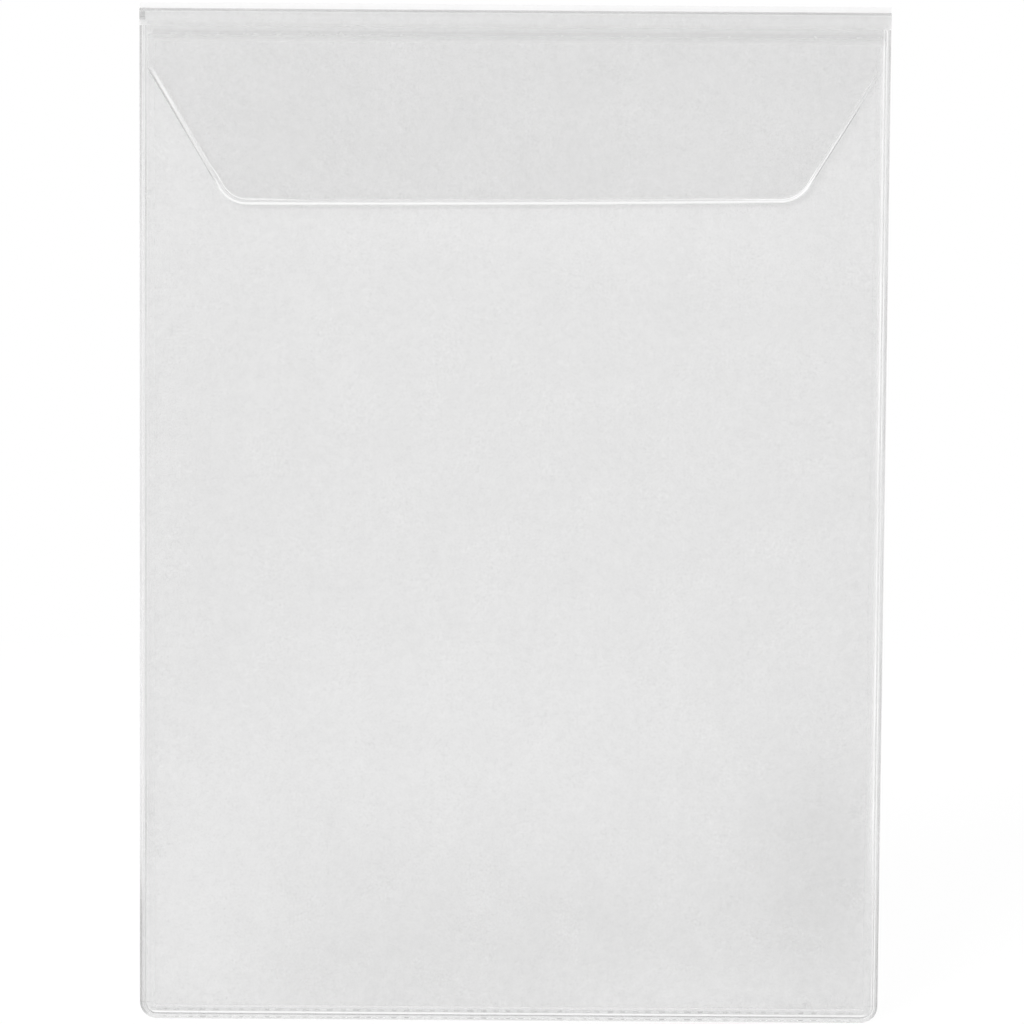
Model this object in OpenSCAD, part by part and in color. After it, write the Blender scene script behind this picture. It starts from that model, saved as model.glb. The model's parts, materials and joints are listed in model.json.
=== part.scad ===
// Self-adhesive document pocket: two clear films welded round three sides, a welded-on flap over the
// mouth, and an adhesive back covered by a release liner.
// X runs to the right, Z up, and the front faces -Y. The origin is the centre of the adhesive face.

/* [Sheet of paper] */
// Width of the sheet that the pocket takes
sheet_w = 210; // [100:1:300]
// Height of the sheet that the pocket takes
sheet_h = 297; // [140:1:420]
// Free play at each side of the sheet
side_play = 5; // [2:0.5:12]
// Free play above the sheet
top_play = 1.8; // [0.5:0.1:12]
// Room for paper between the two films
pocket_depth = 0.8; // [0.4:0.1:3]

/* [Films] */
// Thickness of the back film
back_film_t = 0.25; // [0.1:0.05:0.5]
// Thickness of the front film
front_film_t = 0.25; // [0.1:0.05:0.5]
// Height of the mouth, from the flap's fold down to the front film's upper edge
mouth_h = 4.8; // [2:0.2:10]

/* [Side and bottom seams] */
// Width of the outer flange of a seam
flange_w = 0.9; // [0.5:0.1:2]
// Thickness of the flange
flange_t = 0.3; // [0.2:0.05:0.6]
// Width of each squeezed-out bead
bead_w = 0.6; // [0.3:0.1:1.2]
// Height of each bead above the adhesive
bead_t = 0.65; // [0.5:0.05:1]
// Width of the groove between the two beads
groove_w = 0.4; // [0.2:0.1:1]
// Thickness left under the groove
groove_t = 0.4; // [0.2:0.05:0.6]
// Width of the flat land inside the beads
land_w = 0.5; // [0.2:0.1:1.5]
// Width over which the front film rises from its seam
shoulder_w = 1.6; // [0.8:0.1:4]
// Radius of the front panel's lower corners, inside the seam
panel_corner_r = 0.6; // [0.2:0.1:10]

/* [Knurl of the bottom flange] */
// Spacing of the pressed pockets
knurl_pitch = 3.9; // [2:0.1:8]
// Length of one pocket
knurl_len = 2; // [0.8:0.1:3]
// Height of one pocket
knurl_w = 0.6; // [0.3:0.1:0.8]
// Depth of one pocket
knurl_depth = 0.12; // [0.04:0.02:0.16]

/* [Top weld] */
// Height of the welded band along the top
band_h = 5.2; // [3:0.1:12]
// Height of the thin lip at the band's upper edge
lip_h = 0.7; // [0.3:0.1:1.2]
// Thickness of the lip
lip_t = 0.3; // [0.2:0.05:0.4]
// Height of the web that carries the fold bead
web_h = 1; // [0.5:0.1:1.5]
// Radius of the round bead that the flap folds about
fold_bead_r = 0.3; // [0.2:0.05:0.4]

/* [Flap] */
// Thickness of the flap film
flap_t = 0.25; // [0.1:0.05:0.5]
// Drop of the flap from its fold to its lower edge
flap_drop = 53.6; // [30:0.2:90]
// Length of the flap's upright sides, from the fold
flap_side = 13; // [11:0.2:20]
// Distance from the pocket's edge to the flap's side
flap_inset = 2.6; // [1.6:0.1:6]
// Slant of the flap's lower sides from upright, in degrees
flap_slant = 31; // [10:1:45]
// Radius of the flap's lower corners
flap_corner_r = 10; // [4:0.5:20]
// Width of the thickened rim round the flap
rim_w = 1.6; // [0.8:0.1:3]
// Height of the rim above the flap's face
rim_rise = 0.25; // [0.1:0.05:0.4]
// Clearance between the flap and the front film
flap_gap = 0.3; // [0.1:0.05:1]
// Clearance between the flap's upper end and the beads of the side seams
seam_gap = 0.15; // [0.1:0.05:0.5]
// Clearance round the fold bead
fold_play = 0.05; // [0.02:0.01:0.1]

/* [Adhesive and liner] */
// Thickness of the adhesive coat
adhesive_t = 0.1; // [0.05:0.01:0.3]
// Bare margin round the adhesive coat
adhesive_margin = 1; // [0.5:0.1:10]
// Thickness of the release liner
liner_t = 0.15; // [0.06:0.01:0.3]
// Distance that the liner stands above the pocket's top edge
liner_lift = 1.7; // [0.5:0.1:15]

/* [Hidden] */
$fn = 64;

seam_w = flange_w + 2 * bead_w + groove_w + land_w;
corner_r = seam_w + shoulder_w + panel_corner_r;
pocket_w = sheet_w + 2 * (side_play + seam_w);
pocket_h = sheet_h + top_play + seam_w + band_h;

// Heights above the plane where the films meet the adhesive
land_t = back_film_t + front_film_t;
panel_back = back_film_t + pocket_depth;
panel_front = panel_back + front_film_t;
band_t = back_film_t + flap_t;
fold_back = max(bead_t, land_t) + seam_gap;
fold_front = fold_back + flap_t;
fold_axis = fold_back + flap_t / 2;
flap_back = max(panel_front, bead_t) + flap_gap;
flap_front = flap_back + flap_t;

// Levels along Z
top_z = pocket_h / 2;
bottom_z = -pocket_h / 2;
fold_z = top_z - band_h;
mouth_z = fold_z - mouth_h;
seam_z = bottom_z + corner_r;
flap_side_z = fold_z - flap_side;
flap_bottom_z = fold_z - flap_drop;

// Half widths of the flap at its fold and at its lower edge, before the corners are rounded
flap_half = pocket_w / 2 - flap_inset;
flap_foot_half = flap_half - (flap_side_z - flap_bottom_z) * tan(flap_slant);

film_colour = [0.9, 0.91, 0.92, 0.5];
weld_colour = [0.95, 0.95, 0.96, 0.7];
adhesive_colour = [0.93, 0.92, 0.88, 0.6];
liner_colour = [0.97, 0.97, 0.96];

// A bead's cross-section as [distance, height] points, from its start to its end
function bead(start) = [
    [start + bead_w / 4, bead_t],
    [start + 3 * bead_w / 4, bead_t]
];

// Cross-section of a seam as [distance from the outer edge, height above the adhesive], without its foot
function seam_top() =
    let (groove_at = flange_w + bead_w, land_at = groove_at + groove_w + bead_w)
    concat(
        [[0, 0], [0, flange_t], [flange_w, flange_t]],
        bead(flange_w),
        [[groove_at, groove_t], [groove_at + groove_w, groove_t]],
        bead(groove_at + groove_w),
        [[land_at, land_t], [seam_w, land_t]]
    );

// The seam alone, and the seam with the shoulder that carries the front film
function seam_profile() = concat(seam_top(), [[seam_w, 0]]);
function shoulder_profile() = concat(
    seam_top(),
    [
        [seam_w + shoulder_w, panel_front],
        [seam_w + shoulder_w, panel_back],
        [seam_w, back_film_t],
        [seam_w, 0]
    ]
);

// A sheet lying in the XZ plane, from one height above the adhesive to another
module sheet(from, thick) {
    rotate([90, 0, 0])
        translate([0, 0, adhesive_t + from])
            linear_extrude(thick)
                children();
}

// A bar along X whose section is given as [height along Z, height above the adhesive]
module bar_along_x(section, length) {
    rotate([90, 0, 90])
        linear_extrude(length, center = true)
            polygon([for (p = section) [-adhesive_t - p[1], p[0]]]);
}

// A round rod along X with its axis at the flap's fold
module fold_rod(r, length) {
    translate([0, -adhesive_t - fold_axis, fold_z])
        rotate([0, 90, 0])
            cylinder(length, r = r, center = true);
}

// A bar along Z at the left edge whose section is a seam profile
module bar_along_z(profile, from_z, to_z) {
    translate([0, 0, from_z])
        linear_extrude(to_z - from_z)
            polygon([for (p = profile) [p[0] - pocket_w / 2, -adhesive_t - p[1]]]);
}

// Outline of the pocket drawn in by an inset, with square upper and rounded lower corners
module pocket_outline(inset, upper_z) {
    half = pocket_w / 2 - inset;
    lower_z = bottom_z + inset;
    r = corner_r - inset;
    translate([-half, lower_z + r])
        square([2 * half, upper_z - lower_z - r]);
    translate([r - half, lower_z])
        square([2 * (half - r), r]);
    for (side = [-1, 1])
        translate([side * (half - r), lower_z + r])
            circle(r);
}

// Outline of the flap's flat panel drawn in by an inset at the sides and the lower edge
module flap_outline(inset) {
    half = flap_half - inset;
    side_z = flap_side_z + inset * tan(flap_slant / 2);
    foot_half = flap_foot_half - inset * tan(45 - flap_slant / 2);
    foot_z = flap_bottom_z + inset;
    r = flap_corner_r - inset;
    tangent = r * tan(45 - flap_slant / 2);
    right = [
        [half, mouth_z],
        [half, side_z],
        [foot_half + tangent * sin(flap_slant), foot_z + tangent * cos(flap_slant)],
        [foot_half - tangent, foot_z]
    ];
    left = [for (i = [3:-1:0]) [-right[i][0], right[i][1]]];
    polygon(concat(right, left));
    for (side = [-1, 1])
        translate([side * (foot_half - tangent), foot_z + r])
            circle(r);
}

module back_film() {
    color(film_colour)
        sheet(0, back_film_t)
            pocket_outline(seam_w, fold_z);
}

module front_film() {
    color(film_colour)
        sheet(panel_back, front_film_t)
            pocket_outline(seam_w + shoulder_w, mouth_z);
}

// The flap starts round the fold bead, lifts over the mouth and hangs flat in front of the front film
module flap() {
    lifting = [
        [fold_z, fold_back],
        [fold_z, fold_front],
        [mouth_z, flap_front],
        [mouth_z, flap_back]
    ];
    color(film_colour) {
        difference() {
            bar_along_x(lifting, 2 * flap_half);
            fold_rod(fold_bead_r + fold_play, 3 * flap_half);
        }
        sheet(flap_back, flap_t)
            flap_outline(0);
        sheet(flap_front, rim_rise)
            difference() {
                flap_outline(0);
                flap_outline(rim_w);
            }
    }
}

// The band is as wide as the pocket, and its fold bead as wide as the flap
module top_weld() {
    band = [
        [top_z, 0],
        [top_z, lip_t],
        [top_z - lip_h, lip_t],
        [top_z - lip_h, band_t],
        [fold_z, band_t],
        [fold_z, 0]
    ];
    web = [
        [fold_z + web_h, band_t],
        [fold_z, fold_axis],
        [fold_z, band_t]
    ];
    color(weld_colour) {
        bar_along_x(band, pocket_w);
        bar_along_x(web, 2 * flap_half);
        fold_rod(fold_bead_r, 2 * flap_half);
    }
}

module left_weld() {
    color(weld_colour) {
        bar_along_z(shoulder_profile(), seam_z, mouth_z);
        bar_along_z(seam_profile(), mouth_z, fold_z);
    }
}

module right_weld() {
    mirror([1, 0, 0])
        left_weld();
}

module bottom_weld() {
    profile = shoulder_profile();
    straight = pocket_w - 2 * corner_r;
    count = floor(straight / knurl_pitch);
    color(weld_colour) {
        difference() {
            bar_along_x([for (p = profile) [bottom_z + p[0], p[1]]], straight);
            for (i = [0:count - 1])
                translate([(i - (count - 1) / 2) * knurl_pitch, 0, 0])
                    sheet(flange_t - knurl_depth, 2 * knurl_depth)
                        translate([0, bottom_z + flange_w / 2])
                            square([knurl_len, knurl_w], center = true);
        }
        for (side = [0, 1])
            mirror([side, 0, 0])
                translate([corner_r - pocket_w / 2, 0, seam_z])
                    rotate([90, 0, 0])
                        rotate([0, 0, 180])
                            rotate_extrude(angle = 90)
                                polygon([for (p = profile) [corner_r - p[0], adhesive_t + p[1]]]);
    }
}

module adhesive_coat() {
    color(adhesive_colour)
        sheet(-adhesive_t, adhesive_t)
            pocket_outline(adhesive_margin, top_z - adhesive_margin);
}

module release_liner() {
    color(liner_colour)
        sheet(-adhesive_t - liner_t, liner_t)
            pocket_outline(0, top_z + liner_lift);
}

back_film();
front_film();
flap();
top_weld();
left_weld();
right_weld();
bottom_weld();
adhesive_coat();
release_liner();
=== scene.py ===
# Looks of a clear document pocket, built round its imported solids. Lengths are in metres, in the part's own
# frame: X to the right, Z up, the front towards -Y and the adhesive face at y = 0.
import json
import math

import bmesh
import bpy
import numpy as np
from mathutils import Matrix, Vector


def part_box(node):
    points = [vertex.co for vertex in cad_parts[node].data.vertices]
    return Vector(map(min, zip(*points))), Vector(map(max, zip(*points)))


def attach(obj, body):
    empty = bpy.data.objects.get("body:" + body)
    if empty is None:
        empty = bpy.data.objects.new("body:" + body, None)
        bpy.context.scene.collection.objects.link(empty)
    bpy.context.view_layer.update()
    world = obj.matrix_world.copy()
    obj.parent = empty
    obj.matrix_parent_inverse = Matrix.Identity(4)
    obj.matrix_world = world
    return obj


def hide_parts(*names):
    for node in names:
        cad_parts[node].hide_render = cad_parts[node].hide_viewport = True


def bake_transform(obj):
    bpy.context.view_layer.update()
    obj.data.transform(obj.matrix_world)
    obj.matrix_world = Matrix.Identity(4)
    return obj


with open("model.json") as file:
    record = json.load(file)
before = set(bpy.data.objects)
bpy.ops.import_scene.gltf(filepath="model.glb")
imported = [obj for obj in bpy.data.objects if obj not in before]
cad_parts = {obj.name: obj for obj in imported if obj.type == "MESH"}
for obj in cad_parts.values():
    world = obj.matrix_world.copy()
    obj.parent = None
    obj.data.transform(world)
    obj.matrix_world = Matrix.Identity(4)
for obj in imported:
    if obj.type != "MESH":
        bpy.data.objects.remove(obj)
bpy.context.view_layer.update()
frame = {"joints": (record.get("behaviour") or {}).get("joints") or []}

MM = 0.001
scene = bpy.context.scene

# Levels and widths, from the solids
liner_low, liner_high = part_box("release_liner")
band_low, band_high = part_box("top_weld")
back_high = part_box("back_film")[1]
panel_low, panel_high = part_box("front_film")
flap_low, flap_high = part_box("flap")
coat_low, coat_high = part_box("adhesive_coat")
seam_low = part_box("left_weld")[0]

HALF_W = liner_high.x
TOP_Z = band_high.z
BOTTOM_Z = liner_low.z
FOLD_Z = back_high.z
MOUTH_Z = panel_high.z
SEAM_Z = seam_low.z
CORNER_R = SEAM_Z - BOTTOM_Z
SEAM_W = HALF_W - back_high.x
SHOULDER_END = HALF_W - panel_high.x
COAT_INSET = HALF_W - coat_high.x
BEAD_R = FOLD_Z - band_low.z

# Heights above the plane where the films meet the adhesive
ADHESIVE_T = -coat_low.y
FILM_T = panel_high.y - panel_low.y
PANEL_FRONT = -panel_low.y - ADHESIVE_T
FLANGE_T = 0.3 * MM
LAND_T = 2 * FILM_T
EDGE_FRONT = LAND_T + 0.2 * MM
LIP_T = 0.3 * MM
BAND_T = 2 * FILM_T
RIM_RISE = 0.25 * MM
FLAP_BACK = -flap_low.y - ADHESIVE_T - RIM_RISE - FILM_T
fold_joint = next(j for j in frame["joints"] if j["name"] == "flap_fold")
FOLD_AXIS = -fold_joint["pos_m"][1] - ADHESIVE_T

# Outline of the flap
FLAP_HALF = flap_high.x
FLAP_FOOT_Z = flap_low.z
FLAP_SIDE_Z = FOLD_Z - 13 * MM
FLAP_SLANT = math.radians(31)
FLAP_CORNER_R = 10 * MM
FLAP_FOOT_HALF = FLAP_HALF - (FLAP_SIDE_Z - FLAP_FOOT_Z) * math.tan(FLAP_SLANT)
FLAP_TOP_Z = FOLD_Z + 0.9 * MM

# A hair's breadth that keeps touching layers from sharing one face
SKIN = 0.02 * MM

# Points closer than this are one point, and edges sharper than this angle look sharp
MERGE_DISTANCE = 0.0005 * MM
SHARP_ANGLE = math.radians(42)

# Shares and lengths of the waves in a wobble
WOBBLE_WAVES = ((0.5, 17 * MM), (0.3, 6.1 * MM), (0.2, 2.3 * MM))


# Geometry helpers

def smooth(t):
    """0 to 1 with level ends, for t from 0 to 1."""
    t = min(max(t, 0.0), 1.0)
    return t * t * (3 - 2 * t)


def eased(table, x):
    """The value at x of a curve that is level at each (position, value) of the table."""
    for (x0, y0), (x1, y1) in zip(table, table[1:]):
        if x <= x1:
            return y0 + (y1 - y0) * smooth((x - x0) / (x1 - x0))
    return table[-1][1]


def wobble(s, phase):
    """A slow irregular wave between -1 and 1 along a length s."""
    total = 0
    for k, (share, length) in enumerate(WOBBLE_WAVES, 1):
        total += share * math.sin(s / length + phase * k)
    return total


def hump(u, middle, width):
    """A smooth hump of height 1 round a middle."""
    return math.exp(-((u - middle) / width) ** 2)


def spread(low, high, step):
    """Even positions from low to high, about a step apart."""
    return list(np.linspace(low, high, max(2, round(abs(high - low) / step) + 1)))


def at(x, h, z):
    """A point at a height above the films' back plane."""
    return (x, -ADHESIVE_T - h, z)


def make_piece(name, points, outer, inner, line, haze_and_shade):
    """A mesh with its line values, which paint highlights and shade, and its haze values, which in places
    also paint shade, its rest positions, clean normals and sharp edges. Its inner faces take the second
    material."""
    mesh = bpy.data.meshes.new(name)
    mesh.from_pydata(points, [], outer + inner)
    mesh.polygons.foreach_set("material_index", [0] * len(outer) + [1] * len(inner))
    for key, values in (("line", line), ("haze_and_shade", haze_and_shade)):
        layer = mesh.attributes.new(key, "FLOAT", "POINT")
        layer.data.foreach_set("value", np.asarray(values, np.float32))
    rest = mesh.attributes.new("rest", "FLOAT_VECTOR", "POINT")
    rest.data.foreach_set("vector", np.asarray(points, np.float32).ravel())
    bm = bmesh.new()
    bm.from_mesh(mesh)
    bmesh.ops.remove_doubles(bm, verts=bm.verts, dist=MERGE_DISTANCE)
    bmesh.ops.dissolve_degenerate(bm, edges=bm.edges, dist=MERGE_DISTANCE)
    bmesh.ops.recalc_face_normals(bm, faces=bm.faces)
    for face in bm.faces:
        face.smooth = True
    for edge in bm.edges:
        edge.smooth = len(edge.link_faces) == 2 and edge.calc_face_angle() < SHARP_ANGLE
    bm.to_mesh(mesh)
    bm.free()
    piece = bpy.data.objects.new(name, mesh)
    scene.collection.objects.link(piece)
    return piece


def closed_sheet(name, plan, quads, back, front, line, haze_and_shade):
    """A closed sheet over plan points (x, z), from its back heights to its front heights."""
    count = len(plan)
    points = [at(x, h, z) for (x, z), h in zip(plan, front)]
    points += [at(x, h, z) for (x, z), h in zip(plan, back)]
    edges = [edge for q in quads for edge in zip(q, q[1:] + q[:1])]
    shared = set(edges)
    walls = [(b, a, a + count, b + count) for a, b in edges if (b, a) not in shared]
    behind = [tuple(i + count for i in reversed(q)) for q in quads]
    return make_piece(name, points, list(quads) + walls, behind, list(line) * 2, list(haze_and_shade) * 2)


def grid_quads(rows, columns):
    """Quads between neighbouring points of a grid, row by row from the bottom."""
    quads = []
    for i in range(rows - 1):
        for j in range(columns - 1):
            first = i * columns + j
            quads.append((first, first + 1, first + columns + 1, first + columns))
    return quads


def swept(name, sections, front_count, line, haze_and_shade):
    """A closed bar through sections of equal length, each a closed loop that starts with its front points."""
    size = len(sections[0])
    points = [p for section in sections for p in section]
    last = (len(sections) - 1) * size
    outer = [tuple(range(size)), tuple(range(last + size - 1, last - 1, -1))]
    inner = []
    for k in range(len(sections) - 1):
        for i in range(size):
            j = (i + 1) % size
            quad = (k * size + i, k * size + j, (k + 1) * size + j, (k + 1) * size + i)
            under = front_count - 1 <= i < size - 1
            (inner if under else outer).append(quad)
    return make_piece(name, points, outer, inner, line, haze_and_shade)


# Materials

# Lumps to the metre of the noises
FINE_LUMPS = 450
GRAIN_LUMPS = 800
CLUSTER_LUMPS = 75
BUBBLE_LUMPS = 1600
FIBRE_LUMPS = 1400
CLOUD_LUMPS = 70

# Where noise mostly lies, and where it makes dark specks, pale specks, their clusters and bubbles
NOISE_RANGE = (0.3, 0.7)
DARK_GRAINS = (0.58, 0.66)
PALE_GRAINS = (0.34, 0.42)
CLUSTER_RANGE = (0.5, 0.62)
BUBBLE_RANGE = (0.45, 0.75)
FEWEST_SPECKS = 0.1

# Levels between which the film gets grainier downwards, and how much
GRAINY_Z = (-125 * MM, -75 * MM)
LOW_GRAIN = 1.8

# Cover and tone of the dark and the white lines, which paint shade and highlights on the vinyl, and where on
# the way from one to the other the vinyl is painted white
SHADE_LINE_COVER = 0.9
HIGHLIGHT_LINE_COVER = 0.97
SHADE_LINE_TONE = 0.3
HIGHLIGHT_LINE_TONE = 0.96
HIGHLIGHT_LINE_FROM = 0.57

# Change of roughness over a surface, and depths of bump
ROUGHNESS_SWING = 0.05
VINYL_GRAIN = 0.05 * MM
PAPER_GRAIN = 0.04 * MM
GRAZING_POWER = 5


class Nodes:
    """Short ways to add the nodes of a material or the world."""

    def __init__(self, owner):
        self.owner = owner
        owner.use_nodes = True
        self.tree = owner.node_tree
        self.tree.nodes.clear()

    def add(self, kind, **settings):
        node = self.tree.nodes.new(kind)
        for key, value in settings.items():
            setattr(node, key, value)
        return node

    def link(self, source, target):
        self.tree.links.new(source, target)

    def attribute(self, name, output):
        return self.add("ShaderNodeAttribute", attribute_name=name).outputs[output]

    def noise(self, scale, detail, stretch=(1, 1, 1)):
        """Noise of the rest position, with about scale lumps to the metre."""
        mapping = self.add("ShaderNodeMapping")
        mapping.inputs["Scale"].default_value = stretch
        self.link(self.attribute("rest", "Vector"), mapping.inputs["Vector"])
        noise = self.add("ShaderNodeTexNoise")
        noise.inputs["Scale"].default_value = scale
        noise.inputs["Detail"].default_value = detail
        self.link(mapping.outputs["Vector"], noise.inputs["Vector"])
        return noise.outputs["Fac"]

    def math(self, operation, first, second):
        node = self.add("ShaderNodeMath", operation=operation)
        for socket, value in zip(node.inputs, (first, second)):
            if isinstance(value, (int, float)):
                socket.default_value = value
            else:
                self.link(value, socket)
        return node.outputs["Value"]

    def between(self, value, from_low, from_high, to_low, to_high):
        node = self.add("ShaderNodeMapRange")
        node.inputs["From Min"].default_value = from_low
        node.inputs["From Max"].default_value = from_high
        node.inputs["To Min"].default_value = to_low
        node.inputs["To Max"].default_value = to_high
        self.link(value, node.inputs["Value"])
        return node.outputs["Result"]

    def ramp(self, value, stops):
        """A grey ramp through (position, grey) stops."""
        node = self.add("ShaderNodeValToRGB")
        elements = node.color_ramp.elements
        while len(elements) < len(stops):
            elements.new(0.5)
        for element, (position, grey) in zip(elements, stops):
            element.position = position
            element.color = (grey, grey, grey, 1)
        self.link(value, node.inputs["Fac"])
        return node.outputs["Color"]

    def roughness(self, noise, middle):
        """Roughness that changes a little with a noise."""
        return self.between(noise, *NOISE_RANGE, middle - ROUGHNESS_SWING, middle + ROUGHNESS_SWING)

    def bump(self, height, strength, distance):
        node = self.add("ShaderNodeBump")
        node.inputs["Strength"].default_value = strength
        node.inputs["Distance"].default_value = distance
        self.link(height, node.inputs["Height"])
        return node.outputs["Normal"]

    def seen_through(self, shader, cover, tint):
        """The shader over a share of the surface, and a slightly tinted clear one elsewhere."""
        clear = self.add("ShaderNodeBsdfTransparent")
        clear.inputs["Color"].default_value = (tint, tint, tint, 1)
        mix = self.add("ShaderNodeMixShader")
        self.link(cover, mix.inputs["Fac"])
        self.link(clear.outputs["BSDF"], mix.inputs[1])
        self.link(shader.outputs["BSDF"], mix.inputs[2])
        return mix.outputs["Shader"]

    def finish(self, shader, output="ShaderNodeOutputMaterial"):
        self.link(shader, self.add(output).inputs["Surface"])
        return self.owner


def new_material(name):
    return Nodes(bpy.data.materials.new(name))


def vinyl(name, tint, grey, haze, roughness, mottle, specks, bump, shade, gloss):
    """Soft clear vinyl. Its haze values scale the haze, and in places they are raised to paint shade. Its
    line value paints it white (1), a painted highlight, or dark (-1), painted shade. A line stops a share of
    the light, its shade. The gloss is how solid it looks at a glancing angle."""
    n = new_material(name)
    line = n.between(n.attribute("line", "Fac"), -1, 1, 0, 1)
    fine = n.noise(FINE_LUMPS, 3)
    cloud = n.between(fine, *NOISE_RANGE, -mottle, mottle)
    grains = n.noise(GRAIN_LUMPS, 1)
    dark_specks = n.between(grains, *DARK_GRAINS, 0, specks)
    pale_specks = n.between(grains, *PALE_GRAINS, -specks, 0)
    clusters = n.between(n.noise(CLUSTER_LUMPS, 1), *CLUSTER_RANGE, FEWEST_SPECKS, 1)
    marks = n.math("MULTIPLY", n.math("ADD", dark_specks, pale_specks), clusters)
    level = n.add("ShaderNodeSeparateXYZ")
    n.link(n.attribute("rest", "Vector"), level.inputs["Vector"])
    grain = n.between(level.outputs["Z"], *GRAINY_Z, LOW_GRAIN, 1)
    uneven = n.math("MULTIPLY", n.math("ADD", cloud, marks), grain)
    # The haze values scale the haze. Where they are raised in patches, they paint shade.
    hazy = n.math("ADD", n.attribute("haze_and_shade", "Fac"), uneven)
    veil = n.math("MULTIPLY", hazy, haze)
    # The line value paints highlights (white) and shade (dark) into the cover and the base colour
    solid = n.ramp(line, ((0, SHADE_LINE_COVER), (0.5, 0), (1, HIGHLIGHT_LINE_COVER)))
    shadow = n.add("ShaderNodeLightPath").outputs["Is Shadow Ray"]
    solid = n.math("MULTIPLY", solid, n.between(shadow, 0, 1, 1, shade))
    body = n.math("MAXIMUM", veil, solid)
    facing = n.add("ShaderNodeLayerWeight").outputs["Facing"]
    grazing = n.math("MULTIPLY", n.math("POWER", facing, GRAZING_POWER), gloss)
    cover = n.math("MAXIMUM", body, grazing)

    shader = n.add("ShaderNodeBsdfPrincipled")
    tones = ((0, SHADE_LINE_TONE), (0.5, grey), (HIGHLIGHT_LINE_FROM, HIGHLIGHT_LINE_TONE), (1, HIGHLIGHT_LINE_TONE))
    n.link(n.ramp(line, tones), shader.inputs["Base Color"])
    n.link(n.roughness(fine, roughness), shader.inputs["Roughness"])
    n.link(n.bump(fine, bump, VINYL_GRAIN), shader.inputs["Normal"])
    return n.finish(n.seen_through(shader, cover, tint))


def vinyl_inside(name, tint, grey, haze, roughness):
    """The smooth inner face of a film, which is clear but for a slight tint and haze."""
    n = new_material(name)
    fine = n.noise(FINE_LUMPS, 3)
    shader = n.add("ShaderNodeBsdfPrincipled")
    shader.inputs["Base Color"].default_value = (grey, grey, grey, 1)
    n.link(n.roughness(fine, roughness), shader.inputs["Roughness"])
    cover = n.between(fine, *NOISE_RANGE, 0.5 * haze, 1.5 * haze)
    return n.finish(n.seen_through(shader, cover, tint))


def tack():
    """Clear adhesive with fine bubbles in it."""
    n = new_material("tack")
    bubbles = n.noise(BUBBLE_LUMPS, 0)
    shader = n.add("ShaderNodeBsdfPrincipled")
    shader.inputs["Base Color"].default_value = (0.86, 0.86, 0.855, 1)
    n.link(n.between(bubbles, *NOISE_RANGE, 0.15, 0.3), shader.inputs["Roughness"])
    n.link(n.between(bubbles, *BUBBLE_RANGE, 0.01, 0.06), shader.inputs["Alpha"])
    return n.finish(shader.outputs["BSDF"])


def liner_paper():
    """White coated paper with faint fibres and a faint cloudy look-through."""
    n = new_material("liner_paper")
    fibres = n.noise(FIBRE_LUMPS, 5, stretch=(1, 1, 0.35))
    clouds = n.noise(CLOUD_LUMPS, 4)
    shader = n.add("ShaderNodeBsdfPrincipled")
    tone = n.math("ADD", n.math("MULTIPLY", fibres, 0.5), n.math("MULTIPLY", clouds, 0.5))
    n.link(n.ramp(tone, ((0.3, 0.9), (0.7, 0.95))), shader.inputs["Base Color"])
    n.link(n.between(fibres, *NOISE_RANGE, 0.5, 0.62), shader.inputs["Roughness"])
    n.link(n.bump(fibres, 0.3, PAPER_GRAIN), shader.inputs["Normal"])
    return n.finish(shader.outputs["BSDF"])


film_look = vinyl(
    "clear_film", tint=0.988, grey=0.72, haze=0.062, roughness=0.32, mottle=0.2, specks=0.8, bump=0.25,
    shade=0.2, gloss=1
)
flap_look = vinyl(
    "clear_flap_film", tint=0.993, grey=0.72, haze=0.03, roughness=0.3, mottle=0.2, specks=0.5, bump=0.05,
    shade=0.3, gloss=1
)
weld_look = vinyl(
    "fused_vinyl", tint=0.988, grey=0.72, haze=0.17, roughness=0.35, mottle=0.1, specks=0, bump=0.1,
    shade=0.2, gloss=0.4
)
inside_look = vinyl_inside("film_inside", tint=0.988, grey=0.72, haze=0.01, roughness=0.25)
tack_look = tack()
paper_look = liner_paper()


def dress(piece, look, inside, slot, *nodes):
    """Gives a piece its two materials and lets it stand for its solids, which it hides. Its slot is not used.
    """
    piece.data.materials.append(look)
    piece.data.materials.append(inside)
    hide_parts(*nodes)
    return piece


# Flat layers with rounded lower corners

# Spacing of the points of each layer
LINER_STEP = 4 * MM
COAT_STEP = 8 * MM
BACK_STEP = 6 * MM
FRONT_STEP = 3 * MM

# How far in from its welds the front film rises, and the depth of its waves and how far in they start
RISE_REACH = 15 * MM
WAVE_DEPTH = 0.04 * MM
WAVE_REACH = 22 * MM


def pocket_rows(inset, upper_z, step):
    """(half width, level) of the pocket's outline drawn in by an inset, from its lower edge up."""
    half = HALF_W - inset
    radius = CORNER_R - inset
    low = BOTTOM_Z + inset
    arc = [math.radians(a) for a in range(0, 91, 10)]
    rows = [(half - radius + radius * math.sin(a), low + radius - radius * math.cos(a)) for a in arc]
    return rows + [(half, z) for z in spread(low + radius, upper_z, step)[1:]]


def pocket_plan(inset, upper_z, step):
    """Plan points and quads of the pocket's outline drawn in by an inset."""
    rows = pocket_rows(inset, upper_z, step)
    columns = spread(-1, 1, step / HALF_W)
    plan = [(half * s, z) for half, z in rows for s in columns]
    return plan, grid_quads(len(rows), len(columns))


def flat_layer(name, inset, upper_z, back, front, step):
    """A level closed sheet of the pocket's outline."""
    plan, quads = pocket_plan(inset, upper_z, step)
    count = len(plan)
    return closed_sheet(name, plan, quads, [back] * count, [front] * count, [0] * count, [1] * count)


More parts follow.
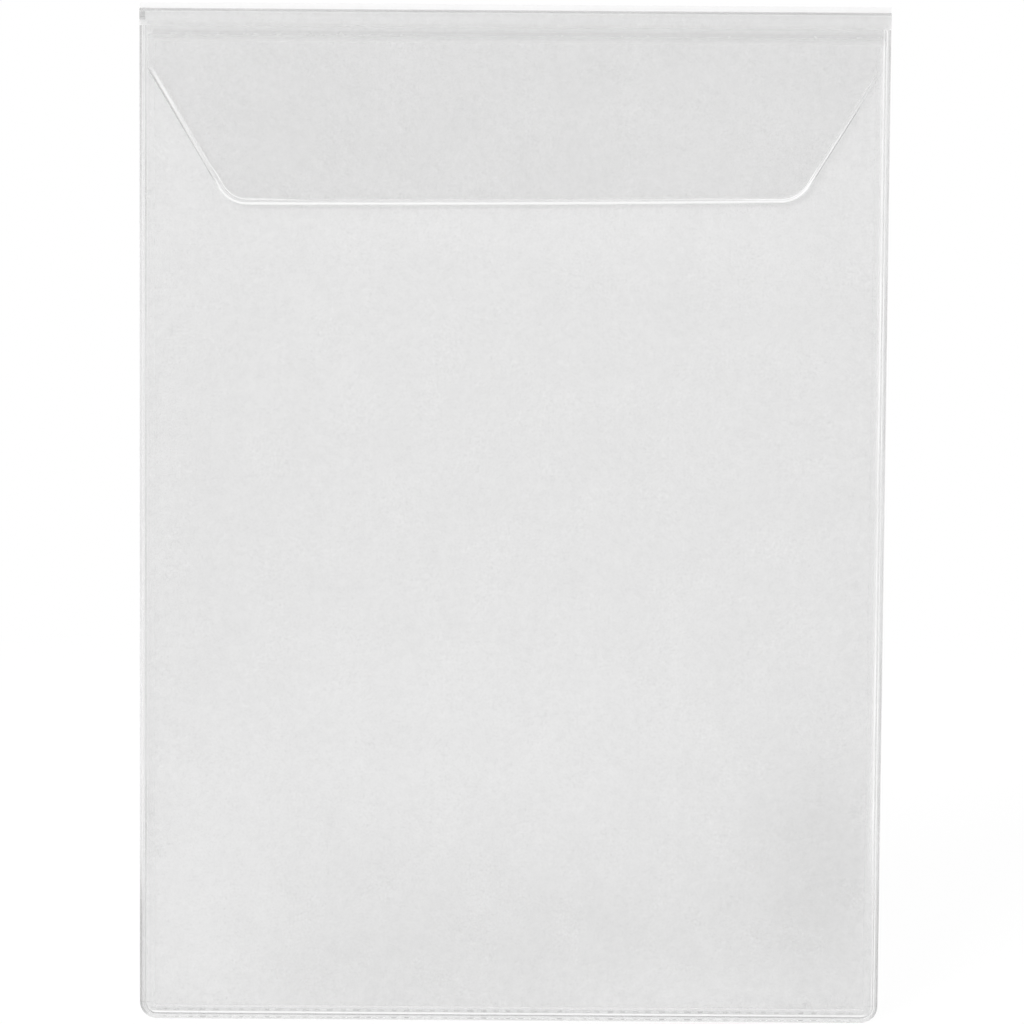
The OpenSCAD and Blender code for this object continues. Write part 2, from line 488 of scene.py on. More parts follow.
def liner_sheet():
    behind = -ADHESIVE_T - liner_high.y
    piece = flat_layer("liner_sheet", 0, liner_high.z, behind, -ADHESIVE_T, LINER_STEP)
    dress(piece, paper_look, paper_look, "liner", "release_liner")
    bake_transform(piece)


def adhesive_layer():
    piece = flat_layer("adhesive_layer", COAT_INSET, coat_high.z, SKIN - ADHESIVE_T, -SKIN, COAT_STEP)
    dress(piece, inside_look, tack_look, "adhesive", "adhesive_coat")
    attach(piece, "pocket")


def back_sheet():
    piece = flat_layer("clear_back_film", SEAM_W, FOLD_Z, 0, FILM_T, BACK_STEP)
    dress(piece, inside_look, inside_look, "film", "back_film")
    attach(piece, "pocket")


# Patches of more or less haze on the front film, which paint the lighter and darker shading of a film that
# doesn't lie flat: middle x and z, half width, half height, change of haze
PAINTED_SHADING_PATCHES = (
    (-94 * MM, -118 * MM, 21 * MM, 34 * MM, -1.65),
    (94 * MM, -107 * MM, 21 * MM, 36 * MM, 2.3),
    (-40 * MM, -132 * MM, 50 * MM, 12 * MM, 0.3),
    (60 * MM, -144 * MM, 45 * MM, 8 * MM, -0.8),
    (0, -70 * MM, 80 * MM, 40 * MM, -0.9),
    (0, 88 * MM, 90 * MM, 10 * MM, -0.5),
    (-95 * MM, 40 * MM, 25 * MM, 60 * MM, 0.4),
    (20 * MM, -124 * MM, 60 * MM, 20 * MM, 0.5),
    (65 * MM, 112 * MM, 40 * MM, 30 * MM, -0.6),
    (-65 * MM, 118 * MM, 35 * MM, 25 * MM, 0.35),
    (25 * MM, -10 * MM, 90 * MM, 70 * MM, -0.25),
    (-54 * MM, -64 * MM, 34 * MM, 30 * MM, -0.33),
)


def haze_and_shade_at(x, z):
    """How hazy the front film is at a place, against 1 on average, with the patches' painted shading."""
    total = 1.0
    for mid_x, mid_z, half_x, half_z, change in PAINTED_SHADING_PATCHES:
        away = ((x - mid_x) / half_x) ** 2 + ((z - mid_z) / half_z) ** 2
        total += change * math.exp(-away)
    return total


def film_front(x, z):
    """Front height of the front film, which rises from its welded edges and waves gently."""
    welded = min(panel_high.x - abs(x), z - panel_low.z)
    rise = (PANEL_FRONT - EDGE_FRONT) * smooth(welded / RISE_REACH)
    wave = math.sin(x / (31 * MM) + 0.7) * math.sin(z / (44 * MM) + 0.4)
    wave += 0.5 * math.sin((x + z) / (19 * MM))
    free = smooth(min(welded, MOUTH_Z - z) / WAVE_REACH)
    return EDGE_FRONT + rise + WAVE_DEPTH * wave * free


def front_sheet():
    plan, quads = pocket_plan(SHOULDER_END, MOUTH_Z, FRONT_STEP)
    front = [film_front(x, z) for x, z in plan]
    back = [h - FILM_T for h in front]
    haze_and_shade = [haze_and_shade_at(x, z) for x, z in plan]
    piece = closed_sheet("clear_front_film", plan, quads, back, front, [0] * len(plan), haze_and_shade)
    dress(piece, film_look, inside_look, "film", "front_film")
    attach(piece, "pocket")


# Side and bottom seams: two squeezed-out beads between a flange and a land, then the shoulder of the film

# Heights across a side seam and the bottom seam, by distance from the outer edge
SIDE_HEIGHT = (
    (0, 0.6 * FLANGE_T),
    (0.12 * MM, FLANGE_T),
    (0.75 * MM, FLANGE_T),
    (1.1 * MM, 0.48 * MM),
    (1.4 * MM, 0.42 * MM),
    (1.75 * MM, 0.58 * MM),
    (2.1 * MM, LAND_T),
    (SEAM_W, LAND_T),
    (SHOULDER_END, EDGE_FRONT),
)
FOOT_HEIGHT = (
    (0, 0.6 * FLANGE_T),
    (0.12 * MM, FLANGE_T),
    (1.3 * MM, FLANGE_T),
    (1.95 * MM, 0.7 * MM),
    (2.5 * MM, LAND_T),
    (SEAM_W, LAND_T),
    (SHOULDER_END, EDGE_FRONT),
)

# Haze and lines across the seams, by distance from the outer edge. The lines paint highlights and shade on
# the slopes of the beads, as if lit from the upper left, so the left and right seams differ. The side seams'
# lines change low down, where the left one is painted darker.
SEAM_CLING = (
    (0, 1),
    (2.2 * MM, 1),
    (2.5 * MM, 1.1),
    (SEAM_W, 0.9),
    (SEAM_W + 0.2 * MM, 0.4),
    (SHOULDER_END, 0.4),
)
LEFT_LINE = (
    (0, -0.05),
    (0.3 * MM, -0.3),
    (0.6 * MM, -0.2),
    (0.9 * MM, 0.05),
    (1.15 * MM, 0.45),
    (1.45 * MM, 0.15),
    (1.8 * MM, -0.35),
    (2.1 * MM, -0.35),
    (2.4 * MM, 0.1),
    (2.8 * MM, 0),
    (SHOULDER_END, 0),
)
RIGHT_LINE = (
    (0, -0.2),
    (0.35 * MM, -0.5),
    (0.65 * MM, -0.3),
    (0.95 * MM, 0),
    (1.25 * MM, 0.9),
    (1.35 * MM, 0.85),
    (1.6 * MM, -0.2),
    (1.75 * MM, 0),
    (2.1 * MM, 0.95),
    (2.25 * MM, 0.95),
    (2.5 * MM, 0.45),
    (2.8 * MM, 0.25),
    (3.2 * MM, 0.15),
    (3.8 * MM, 0.05),
    (SHOULDER_END, 0),
)
LEFT_LOW_LINE = (
    (0, -0.5),
    (0.25 * MM, -0.65),
    (0.65 * MM, -0.6),
    (0.95 * MM, -0.15),
    (1.3 * MM, -0.05),
    (1.6 * MM, -0.15),
    (1.85 * MM, -0.45),
    (2.15 * MM, 0.05),
    (2.6 * MM, 0.1),
    (SHOULDER_END, 0.1),
)
RIGHT_LOW_LINE = (
    (0, -0.45),
    (0.3 * MM, -0.7),
    (0.65 * MM, -0.3),
    (0.9 * MM, -0.4),
    (1.15 * MM, 0.85),
    (1.25 * MM, 0.8),
    (1.5 * MM, -0.55),
    (1.8 * MM, 0.45),
    (2.1 * MM, 0.2),
    (2.4 * MM, -0.2),
    (SEAM_W, 0),
    (SHOULDER_END, 0),
)
# Painted highlights and shade across the bottom seam, lit from above: a pale flange, a dark line on the
# bead's lower slope and a white line on its upper slope
FOOT_LINE = (
    (0, 0.5),
    (0.3 * MM, 0.35),
    (0.65 * MM, 0),
    (0.95 * MM, 0.45),
    (1.2 * MM, 0.45),
    (1.5 * MM, -0.25),
    (1.7 * MM, -0.8),
    (1.8 * MM, -0.75),
    (2.03 * MM, 0.97),
    (2.37 * MM, 0.97),
    (2.6 * MM, 0),
    (2.9 * MM, -0.1),
    (3.4 * MM, 0),
    (4 * MM, 0.35),
    (SHOULDER_END, 0.1),
)

# How strong the side seams' painted highlights and shade are, and how much lighter or darker the left one's
# edge is painted, by level
SEAM_STRENGTH = (
    (BOTTOM_Z, 1),
    (-95 * MM, 1),
    (-60 * MM, 0.85),
    (20 * MM, 0.8),
    (60 * MM, 0.9),
    (110 * MM, 0.95),
    (FOLD_Z, 0.85),
)
LEFT_EDGE = (
    (-90 * MM, 0.3),
    (-55 * MM, 0.35),
    (5 * MM, 0.1),
    (60 * MM, 0.05),
    (90 * MM, 0),
    (125 * MM, -0.25),
    (FOLD_Z, -0.35),
)

# Steps across a seam, and the places, width and greatest swelling of its beads
SEAM_STEPS = spread(0, SEAM_W, 0.1 * MM) + spread(SEAM_W, SHOULDER_END, 0.2 * MM)[1:]
BEADS = (1.1 * MM, 1.75 * MM)
BEAD_W = 0.22 * MM
BEAD_SWELL = 0.03 * MM

# Where the side seams' lines start to change, going down, and over what height
LOW_LINES_Z = -90 * MM
LOW_LINES_H = 35 * MM

# The left edge's painted light and shade: how wide it is and how softly it ends
LEFT_EDGE_W = 0.7 * MM
LEFT_EDGE_SOFT = 0.5 * MM


def seam_height(u, swell, foot):
    """Height at a distance from the outer edge, from a side seam's (foot 0) to the bottom seam's (1), with
    the beads swollen a little."""
    lift = sum(hump(u, bead, BEAD_W) for bead in BEADS)
    return (1 - foot) * eased(SIDE_HEIGHT, u) + foot * eased(FOOT_HEIGHT, u) + swell * lift


def seam_section(place, swell, line_of, foot=0, press=None, shoulder=True):
    """Loop of points across a seam, with their line values and haze values. place(u) gives x and z at a
    distance u from the outer edge."""
    end = SHOULDER_END if shoulder else SEAM_W
    loop = []
    line = []
    haze_and_shade = []
    for u in SEAM_STEPS:
        u = min(u, end)
        h = seam_height(u, swell, foot)
        if press is not None:
            h -= press(u)
        x, z = place(u)
        loop.append(at(x, h, z))
        line.append(line_of(u))
        haze_and_shade.append(eased(SEAM_CLING, u))
    for u in reversed(SEAM_STEPS):
        if u >= SEAM_W:
            u = min(u, end)
            x, z = place(u)
            loop.append(at(x, seam_height(u, 0, foot) - FILM_T, z))
            line.append(line_of(u))
            haze_and_shade.append(eased(SEAM_CLING, u))
    for u in (SEAM_W, 0):
        x, z = place(u)
        loop.append(at(x, 0, z))
        line.append(line_of(u))
        haze_and_shade.append(eased(SEAM_CLING, u))
    return loop, line, haze_and_shade


def side_line(side, u, z, fade):
    """Line value of the left (-1) or right (1) seam, its painted highlights and shade, which change low down.
    """
    upper, lower = (LEFT_LINE, LEFT_LOW_LINE) if side < 0 else (RIGHT_LINE, RIGHT_LOW_LINE)
    low = smooth((LOW_LINES_Z - z) / LOW_LINES_H)
    value = fade * eased(upper, u)
    if side < 0:
        # The left edge is painted lighter low down and darker near the top
        value += eased(LEFT_EDGE, z) * (1 - smooth((u - LEFT_EDGE_W) / LEFT_EDGE_SOFT))
    return (1 - low) * value + low * eased(lower, u)


def side_seam(name, side, phase, node):
    """The left (-1) or right (1) seam, with its shoulder up to the mouth."""
    upright = [(z, True) for z in spread(SEAM_Z, MOUTH_Z, 2 * MM)]
    upright += [(z, False) for z in spread(MOUTH_Z, FOLD_Z, 1 * MM)]
    sections = []
    lines = []
    clings = []
    for z, shoulder in upright:
        free = smooth((z - SEAM_Z) / (6 * MM))
        swell = BEAD_SWELL * wobble(z, phase) * free
        fade = eased(SEAM_STRENGTH, z) * (1 + 0.4 * wobble(z, phase + 1) * free)
        loop, line, haze_and_shade = seam_section(
            lambda u: (side * (HALF_W - u), z),
            swell,
            lambda u: side_line(side, u, z, fade),
            shoulder=shoulder,
        )
        sections.append(loop)
        lines += line
        clings += haze_and_shade
    piece = swept(name, sections, len(SEAM_STEPS), lines, clings)
    dress(piece, weld_look, inside_look, "weld", node)
    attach(piece, "pocket")


# Knurl of the bottom flange: its marks' spacing, length, depth, greatest shift and soft ends
KNURL_PITCH = 3.9 * MM
KNURL_LEN = 2 * MM
KNURL_DEPTH = 0.12 * MM
KNURL_SHIFT = 0.25 * MM
KNURL_SOFT = 0.6 * MM

# Middle and width of the rows of dashes that the knurl leaves on the flange and the land, painted dark as
# shade in its pressed marks and pale between them
FLANGE_DASHES = (0.7 * MM, 0.22 * MM)
LAND_DASHES = (2.95 * MM, 0.35 * MM)

# Where round a corner the bottom seam's section starts to come in, from 0 at the side to 1 at the bottom, and
# the draws for its beads and its knurl
FOOT_FROM = 0.35
FOOT_PHASE = 5
knurl_draw = np.random.default_rng(11).uniform(-1, 1, (200, 3))


def knurl(x):
    """How far the knurl is pressed at a place along the bottom flange, from 0 to 1."""
    index = round(x / KNURL_PITCH)
    shift, depth, length = knurl_draw[index + 100]
    away = abs(x - index * KNURL_PITCH - KNURL_SHIFT * shift)
    half = KNURL_LEN / 2 * (1 + 0.2 * length)
    return (0.8 + 0.2 * depth) * (1 - smooth((away - half + KNURL_SOFT / 2) / KNURL_SOFT))


def foot_line(u, x, foot, free):
    """Line value of the bottom seam, its painted highlights and shade. Round the corners (foot 1 to 0) it
    turns into the side seams' lines, and the painted marks of the knurl fade out before them (free 1 to 0)."""
    pressed = knurl(x)
    value = eased(FOOT_LINE, u)
    # The knurl's pressed marks are painted dark as shade, with the flange and land between them painted pale
    flange = hump(u, *FLANGE_DASHES) * (0.35 - 1.25 * pressed)
    land = hump(u, *LAND_DASHES) * (0.1 - 0.5 * pressed)
    value += free * (flange + land)
    return foot * value + (1 - foot) * side_line(x, u, SEAM_Z, 1)


def foot_seam():
    """The bottom seam with its two round corners and the knurl of its flange."""
    middle = HALF_W - CORNER_R
    arc = [math.radians(a) for a in range(0, 90, 5)]
    stations = [(-middle, -math.cos(a), -math.sin(a)) for a in arc]
    stations += [(x, 0, -1) for x in spread(-middle, middle, 0.35 * MM)]
    stations += [(middle, math.cos(a), -math.sin(a)) for a in reversed(arc)]
    sections = []
    lines = []
    clings = []
    for x, out_x, out_z in stations:
        free = smooth((middle - abs(x)) / (4 * MM)) if out_x == 0 else 0
        turned = math.asin(-out_z) / (math.pi / 2)
        foot = smooth((turned - FOOT_FROM) / (1 - FOOT_FROM))
        swell = BEAD_SWELL * wobble(x, FOOT_PHASE) * free

        def place(u):
            return x + (CORNER_R - u) * out_x, SEAM_Z + (CORNER_R - u) * out_z

        def press(u):
            inside = smooth((u - 0.1 * MM) / (0.15 * MM)) * (1 - smooth((u - 0.65 * MM) / (0.2 * MM)))
            return KNURL_DEPTH * knurl(x) * inside * free

        loop, line, haze_and_shade = seam_section(place, swell, lambda u: foot_line(u, x, foot, free), foot, press)
        sections.append(loop)
        lines += line
        clings += haze_and_shade
    piece = swept("bottom_seam", sections, len(SEAM_STEPS), lines, clings)
    dress(piece, weld_look, inside_look, "weld", "bottom_weld")
    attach(piece, "pocket")


# Top band with its lip, a pressed line and the bead that the flap folds about

# Heights, lines and haze down the band, by distance from its upper edge. The lines paint a dark line of shade
# under the lip, and faint highlights and shade across the band.
BAND_W = 4.2 * MM
BAND_HEIGHT = (
    (0, 0.5 * LIP_T),
    (0.12 * MM, LIP_T),
    (0.55 * MM, LIP_T),
    (0.85 * MM, BAND_T),
    (2.2 * MM, BAND_T),
    (2.5 * MM, BAND_T + 0.1 * MM),
    (2.8 * MM, BAND_T),
    (BAND_W, BAND_T),
)
BAND_LINE = (
    (0, 0),
    (0.2 * MM, -0.6),
    (0.7 * MM, -0.6),
    (1 * MM, -0.05),
    (1.3 * MM, 0.1),
    (1.6 * MM, -0.2),
    (1.9 * MM, -0.15),
    (2.3 * MM, 0.05),
    (2.8 * MM, 0.05),
    (3.3 * MM, 0),
    (5.6 * MM, 0),
)
BAND_CLING = (
    (0, 1.35),
    (3.3 * MM, 1.35),
    (4.1 * MM, 1.15),
    (4.9 * MM, 0.1),
    (5.6 * MM, 0.1),
)

# Angle at which the bead starts from the band, and the number of its facets
WEB_ANGLE = math.atan2(FOLD_AXIS - BAND_T, 1 * MM)
BEAD_PARTS = 24

# Ripple of the lip: its size, how far down it reaches, and where it starts and how far left it grows
RIPPLE = 0.12 * MM
RIPPLE_REACH = 1.5 * MM
RIPPLE_X = -60 * MM
RIPPLE_GROWTH = 50 * MM

# Dark mark at the band's left end, where it meets the left seam: its width, its middle and half its height,
# its soft ends and its line value
END_MARK_W = 1.6 * MM
END_MARK_MIDDLE = 2.3 * MM
END_MARK_HALF = 1.5 * MM
END_MARK_SOFT = 0.4 * MM
END_MARK_TONE = -0.6


def band_section(x, folded):
    """Loop of points across the band at a place along it, with its fold bead or without, and their line
    values and haze values."""
    ripple = RIPPLE * wobble(x, 3) * smooth((RIPPLE_X - x) / RIPPLE_GROWTH)
    band_h = TOP_Z - FOLD_Z
    loop = []
    for v in spread(0, BAND_W, 0.15 * MM):
        edge = max(0, 1 - v / RIPPLE_REACH)
        loop.append((v + ripple * edge * (v > 0), eased(BAND_HEIGHT, v)))
    for k in range(BEAD_PARTS + 1):
        a = -WEB_ANGLE + (1.5 * math.pi + WEB_ANGLE) * k / BEAD_PARTS
        if folded:
            loop.append((band_h - BEAD_R * math.cos(a), FOLD_AXIS + BEAD_R * math.sin(a)))
        else:
            loop.append((band_h, BAND_T))
    loop.append((band_h, 0))
    loop.append((0, 0))
    points = [at(x, h, TOP_Z - v) for v, h in loop]
    line = []
    for v, h in loop:
        value = eased(BAND_LINE, v) * (0.9 + 0.1 * wobble(x, 9))
        # A dark mark at the band's left end, where it meets the left seam
        if x < END_MARK_W - HALF_W:
            value = min(value, END_MARK_TONE * smooth((END_MARK_HALF - abs(v - END_MARK_MIDDLE)) / END_MARK_SOFT))
        line.append(value)
    return points, line, [eased(BAND_CLING, v) for v, h in loop]


def top_band():
    stations = [(x, False) for x in spread(-HALF_W, -FLAP_HALF, 0.5 * MM)]
    stations += [(x, True) for x in spread(-FLAP_HALF, FLAP_HALF, 1.5 * MM)]
    stations += [(x, False) for x in spread(FLAP_HALF, HALF_W, 0.5 * MM)]
    sections = []
    lines = []
    clings = []
    for x, folded in stations:
        points, line, haze_and_shade = band_section(x, folded)
        sections.append(points)
        lines += line
        clings += haze_and_shade
    piece = swept("top_band", sections, len(sections[0]) - 2, lines, clings)
    dress(piece, weld_look, inside_look, "weld", "top_weld")
    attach(piece, "pocket")


# Flap: a panel of rows and columns inside a rim of nested outlines

# Rows and columns of the panel
FLAP_UPRIGHT_ROWS = 28
FLAP_SLANT_ROWS = 24
FLAP_COLUMNS = [k / 32 for k in range(-32, 33)]

# Heights and lines across the rim, by distance from the flap's edge. The lines paint a white highlight along
# the edge.
RIM_W = 2.2 * MM
RIM_HEIGHT = (
    (0, 0.4 * RIM_RISE),
    (0.35 * MM, RIM_RISE),
    (0.85 * MM, 0.3 * RIM_RISE),
    (1.2 * MM, 0.3 * RIM_RISE),
    (1.6 * MM, 0.7 * RIM_RISE),
    (RIM_W, 0),
)
RIM_LINE = (
    (0, 0.3),
    (0.12 * MM, 1),
    (0.62 * MM, 1),
    (0.9 * MM, 0.25),
    (1.6 * MM, 0.2),
    (2 * MM, 0.05),
    (RIM_W, 0),
)
RIM_STEPS = spread(0, RIM_W, 0.1 * MM)

# Soft edge and tone of the painted shade on the slanting rim's outer side, and the width of the second
# painted highlight inside the rim and its distance from the flap's edge
RIM_SHADE_SOFT = 0.15 * MM
RIM_SHADE_LINE = -0.65
SECOND_W = 0.18 * MM
SECOND_IN = 1.35 * MM

# Haze of the flap, by distance below the fold. The heavy haze in a strip below the fold paints the shade
# where the flap bends over the fold bead and the mouth.
FLAP_HAZE_AND_SHADE = (
    (-0.9 * MM, 0.5),
    (0, 6),
    (0.6 * MM, 15.5),
    (1.2 * MM, 15),
    (1.9 * MM, 11.5),
    (2.6 * MM, 11),
    (4.3 * MM, 1),
)

# Gaps under the flap at its root and over the bead, and how far it sags towards its foot
ROOT_GAP = 0.05 * MM
BEAD_GAP = 0.04 * MM
SAG = 0.15 * MM

# How much higher the foot hangs than it is cut: in the middle, for each metre to the right, and besides that
# at a reach to either side
ASKEW_MIDDLE = 0.53 * MM
ASKEW_SLOPE = 0.0103
ASKEW_BOW = 0.17 * MM
ASKEW_REACH = 64 * MM


def flap_edge(inset):
    """Right edge of the flap drawn in by an inset, as (x, z) from the fold down to the lower edge."""
    half = FLAP_HALF - inset
    side_z = FLAP_SIDE_Z + inset * math.tan(FLAP_SLANT / 2)
    corner = math.tan(math.pi / 4 - FLAP_SLANT / 2)
    foot_half = FLAP_FOOT_HALF - inset * corner
    foot_z = FLAP_FOOT_Z + inset
    radius = FLAP_CORNER_R - inset
    mid_x = foot_half - radius * corner
    mid_z = foot_z + radius
    turns = np.linspace(-FLAP_SLANT, -math.pi / 2, 15)
    arc = [(mid_x + radius * math.cos(a), mid_z + radius * math.sin(a)) for a in turns]
    root = [(half, z) for z in spread(FLAP_TOP_Z, FOLD_Z, 0.1 * MM)]
    upright = root + [(half, z) for z in np.linspace(FOLD_Z, side_z, FLAP_UPRIGHT_ROWS)[1:]]
    slant_x = np.linspace(half, arc[0][0], FLAP_SLANT_ROWS)[1:-1]
    slant_z = np.linspace(side_z, arc[0][1], FLAP_SLANT_ROWS)[1:-1]
    return upright + list(zip(slant_x, slant_z)) + arc


def flap_ring(inset):
    """The flap's free edge drawn in by an inset: down the left, along the foot and up the right."""
    right = flap_edge(inset)
    foot_x, foot_z = right[-1]
    left = [(-x, z) for x, z in right]
    foot = [(s * foot_x, foot_z) for s in FLAP_COLUMNS[1:-1]]
    return left + foot + right[::-1]


def flap_back(x, z):
    """Height of the flap's back: from the band over the fold bead and the mouth, then down to the film."""
    low = BAND_T + ROOT_GAP
    high = FOLD_AXIS + BEAD_R + BEAD_GAP
    if z > FOLD_Z:
        return low + (high - low) * smooth((FLAP_TOP_Z - z) / (FLAP_TOP_Z - FOLD_Z))
    rise = smooth((FOLD_Z - z) / (FOLD_Z - MOUTH_Z))
    drop = smooth((MOUTH_Z - z) / (MOUTH_Z - FLAP_FOOT_Z))
    sag = SAG * drop * (1 + 0.2 * math.sin(x / (23 * MM) + 1))
    return high + (FLAP_BACK - high) * rise - sag


def askew(x, z):
    """How much higher the flap hangs than it is cut, most at the foot and to the right."""
    drop = max(0, FOLD_Z - z) / (FOLD_Z - FLAP_FOOT_Z)
    return drop * (ASKEW_MIDDLE + ASKEW_SLOPE * x + ASKEW_BOW * (x / ASKEW_REACH) ** 2)


def rim_line(inset, x, z):
    """Line value of the rim: a painted white highlight by the edge, clearest along the foot, with painted
    shade on the outer side where the sides slant, and a second painted highlight inside it, clearest at the
    lower corners."""
    up = z - FLAP_FOOT_Z
    slant = smooth((up - 5 * MM) / (4 * MM))
    upright = smooth((z - FLAP_SIDE_Z + 2 * MM) / (4 * MM))
    high = smooth((up - 15 * MM) / (20 * MM))
    along = smooth((abs(x) - FLAP_FOOT_HALF + 26 * MM) / (18 * MM))
    corner = along * (1 - smooth((up - 8 * MM) / (6 * MM)))
    clear = 0.15 + 0.2 * smooth(x / (60 * MM)) + 0.7 * corner
    if x > 0:
        patchy = 0.5 + 0.3 * wobble(z, 6)
        edge = (0.2 + 0.05 * high) * MM
        narrow = 1 + 0.8 * slant
        shown = 1 - 0.8 * smooth((up - 26 * MM) / (8 * MM))
        place = SECOND_IN - 0.25 * MM * corner
    else:
        patchy = 0.3 + 0.3 * wobble(z, 2)
        edge = (0.2 + 0.25 * high) * MM
        narrow = 1
        shown = 1
        place = SECOND_IN + 0.4 * MM * corner
        clear += 0.25 * slant
    outer = shown * eased(RIM_LINE, (inset - edge * slant) * narrow) * (1 - slant * patchy)
    # Painted shade on the outer side of the slanting rim
    rim_shade = shown * slant * (1 - smooth((inset - edge) / RIM_SHADE_SOFT))
    second = clear * hump(inset, place, SECOND_W)
    return (1 - upright) * ((outer + second) * (1 - rim_shade) + RIM_SHADE_LINE * rim_shade)


def flap_sheet():
    rows = flap_edge(RIM_W)
    width = len(FLAP_COLUMNS)
    plan = [(x * s, z) for x, z in rows for s in FLAP_COLUMNS]
    quads = [tuple(reversed(q)) for q in grid_quads(len(rows), width)]
    extra = [0] * len(plan)
    line = [0] * len(plan)
    left = [i * width for i in range(len(rows))]
    foot = [left[-1] + j for j in range(1, width - 1)]
    right = [i + width - 1 for i in reversed(left)]
    inner = left + foot + right
    for inset in reversed(RIM_STEPS[:-1]):
        outer = []
        for x, z in flap_ring(inset):
            outer.append(len(plan))
            plan.append((x, z))
            fade = smooth((FOLD_Z - z) / (FOLD_Z - MOUTH_Z))
            extra.append(fade * eased(RIM_HEIGHT, inset))
            line.append(fade * min(1, rim_line(inset, x, z)))
        for k in range(len(outer) - 1):
            quads.append((outer[k], outer[k + 1], inner[k + 1], inner[k]))
        inner = outer
    back = [flap_back(x, z) for x, z in plan]
    thick = [FILM_T * (1 - 0.8 * smooth((z - FOLD_Z) / (FLAP_TOP_Z - FOLD_Z))) for x, z in plan]
    front = [b + t + rise for b, t, rise in zip(back, thick, extra)]
    haze_and_shade = [eased(FLAP_HAZE_AND_SHADE, FOLD_Z - z) for x, z in plan]
    plan = [(x, z + askew(x, z)) for x, z in plan]
    piece = closed_sheet("clear_flap", plan, quads, back, front, line, haze_and_shade)
    dress(piece, flap_look, inside_look, "flap_film", "flap")
    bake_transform(piece)


# Stage, light and camera

# Floor: its half size and paleness, the distances over which its shade fades out, how much of that shade is
# seen, and how bright a white floor is when fully lit
FLOOR_HALF = 4
FLOOR_PALE = 0.92
FLOOR_FADE = (0.3, 1.2)
FLOOR_SHADE = 0.15
FLOOR_LEVEL = 0.7

# Light of the world, and the lamps' names, powers, sizes and places
AMBIENT = 0.5
LAMPS = (
    ("key", 343.0, 3.7, Vector((-4, -6.24, 3.04))),
    ("rear_fill", 115.0, 3.0, Vector((2.5, 5.5, 2.6))),
)

# Camera: focal length in millimetres, distance, angle above level, roll and the point it looks at
VIEW_LENS = 90.0
VIEW_DISTANCE = 0.777
VIEW_ELEVATION = math.radians(2.92)
VIEW_ROLL = math.radians(0.4)
VIEW_TARGET = Vector((-0.02 * MM, 0, 2.57 * MM))


def seen_ray(n):
    """1 for rays that show the background: from the camera, in a reflection or through glass."""
    path = n.add("ShaderNodeLightPath").outputs
    seen = n.math("MAXIMUM", path["Is Camera Ray"], path["Is Glossy Ray"])
    return n.math("MAXIMUM", seen, path["Is Transmission Ray"])


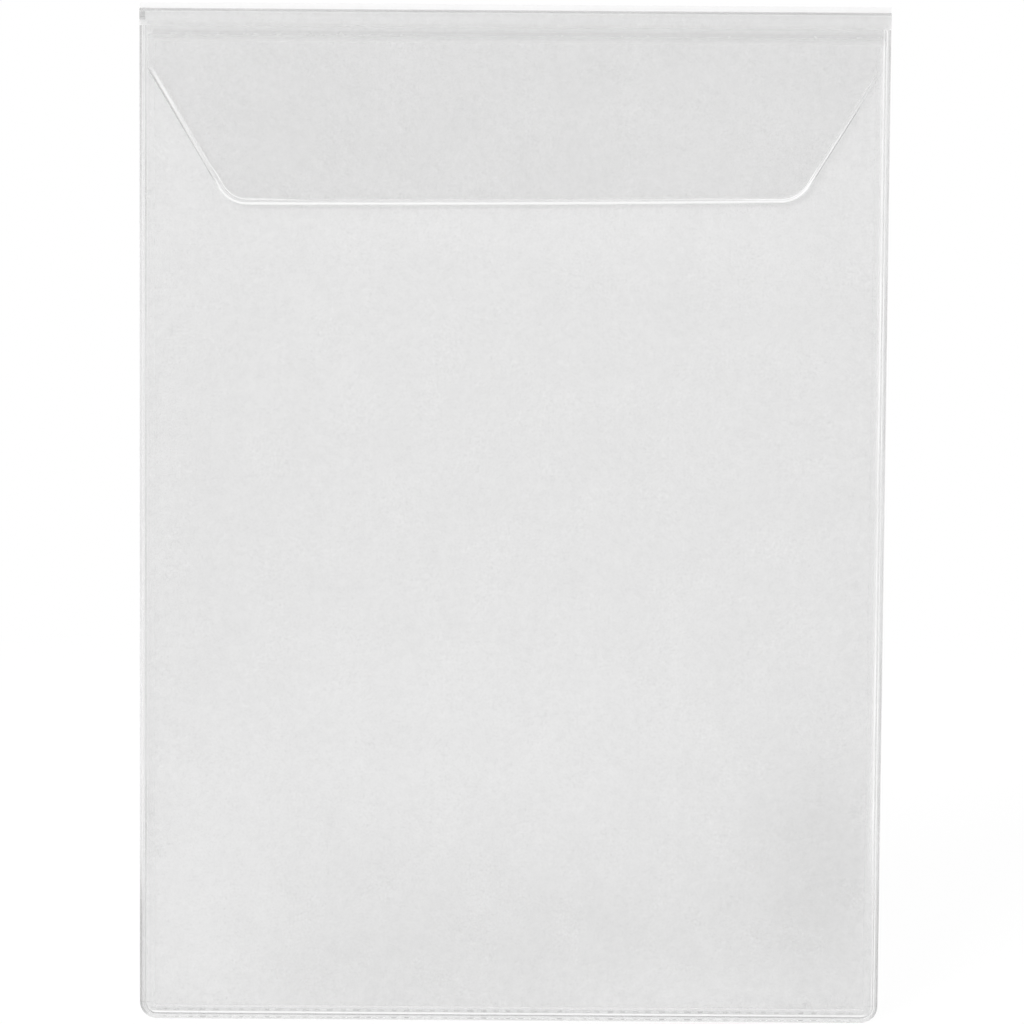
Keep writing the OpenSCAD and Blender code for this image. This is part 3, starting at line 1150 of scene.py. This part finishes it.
def floor():
    """A pale floor that looks white where it is fully lit, with a faint shadow that fades out further off."""
    n = new_material("studio_floor")
    place = n.add("ShaderNodeTexCoord").outputs["Object"]
    reach = n.add("ShaderNodeVectorMath", operation="LENGTH")
    n.link(place, reach.inputs[0])
    shaded = n.add("ShaderNodeBsdfDiffuse")
    n.link(n.between(reach.outputs["Value"], *FLOOR_FADE, FLOOR_SHADE, 0), shaded.inputs["Color"])
    white = n.add("ShaderNodeEmission")
    plain = 1 - FLOOR_SHADE * FLOOR_LEVEL
    n.link(n.between(reach.outputs["Value"], *FLOOR_FADE, plain, 1), white.inputs["Strength"])
    both = n.add("ShaderNodeAddShader")
    n.link(shaded.outputs["BSDF"], both.inputs[0])
    n.link(white.outputs["Emission"], both.inputs[1])
    pale = n.add("ShaderNodeBsdfDiffuse")
    pale.inputs["Color"].default_value = (FLOOR_PALE, FLOOR_PALE, FLOOR_PALE, 1)
    mix = n.add("ShaderNodeMixShader")
    n.link(seen_ray(n), mix.inputs["Fac"])
    n.link(pale.outputs["BSDF"], mix.inputs[1])
    n.link(both.outputs["Shader"], mix.inputs[2])
    mesh = bpy.data.meshes.new("studio_floor")
    corners = [(FLOOR_HALF * x, FLOOR_HALF * y, 0) for x, y in ((-1, -1), (1, -1), (1, 1), (-1, 1))]
    mesh.from_pydata(corners, [], [(0, 1, 2, 3)])
    mesh.materials.append(n.finish(mix.outputs["Shader"]))
    plane = bpy.data.objects.new("studio_floor", mesh)
    plane.location = (0, 0, BOTTOM_Z)
    scene.collection.objects.link(plane)


def light():
    """Even light from all round, which looks white as a background, and the lamps."""
    n = Nodes(bpy.data.worlds.new("studio"))
    background = n.add("ShaderNodeBackground")
    background.inputs["Color"].default_value = (1, 1, 1, 1)
    n.link(n.between(seen_ray(n), 0, 1, AMBIENT, 1), background.inputs["Strength"])
    scene.world = n.finish(background.outputs["Background"], "ShaderNodeOutputWorld")
    for name, power, size, place in LAMPS:
        lamp = bpy.data.lights.new(name, "AREA")
        lamp.energy = power
        lamp.size = size
        panel = bpy.data.objects.new(name, lamp)
        panel.location = place
        panel.rotation_euler = (-place).to_track_quat("-Z", "Y").to_euler()
        scene.collection.objects.link(panel)


def camera():
    """Nearly straight on, from a little above, with the photograph's slight roll."""
    back = Vector((0, -math.cos(VIEW_ELEVATION), math.sin(VIEW_ELEVATION)))
    across = Vector((1, 0, 0))
    upward = back.cross(across)
    right = math.cos(VIEW_ROLL) * across + math.sin(VIEW_ROLL) * upward
    up = math.cos(VIEW_ROLL) * upward - math.sin(VIEW_ROLL) * across
    data = bpy.data.cameras.new("camera")
    data.lens = VIEW_LENS
    eye = bpy.data.objects.new("camera", data)
    turn = Matrix((right, up, back)).transposed().to_4x4()
    eye.matrix_world = Matrix.Translation(VIEW_TARGET + VIEW_DISTANCE * back) @ turn
    scene.collection.objects.link(eye)
    scene.camera = eye


liner_sheet()
adhesive_layer()
back_sheet()
front_sheet()
side_seam("left_seam", -1, 1, "left_weld")
side_seam("right_seam", 1, 4, "right_weld")
foot_seam()
top_band()
flap_sheet()
floor()
light()
camera()

scene.view_settings.view_transform = "Standard"
scene.cycles.transparent_max_bounces = 32
scene.cycles.max_bounces = 6
scene.cycles.diffuse_bounces = 3
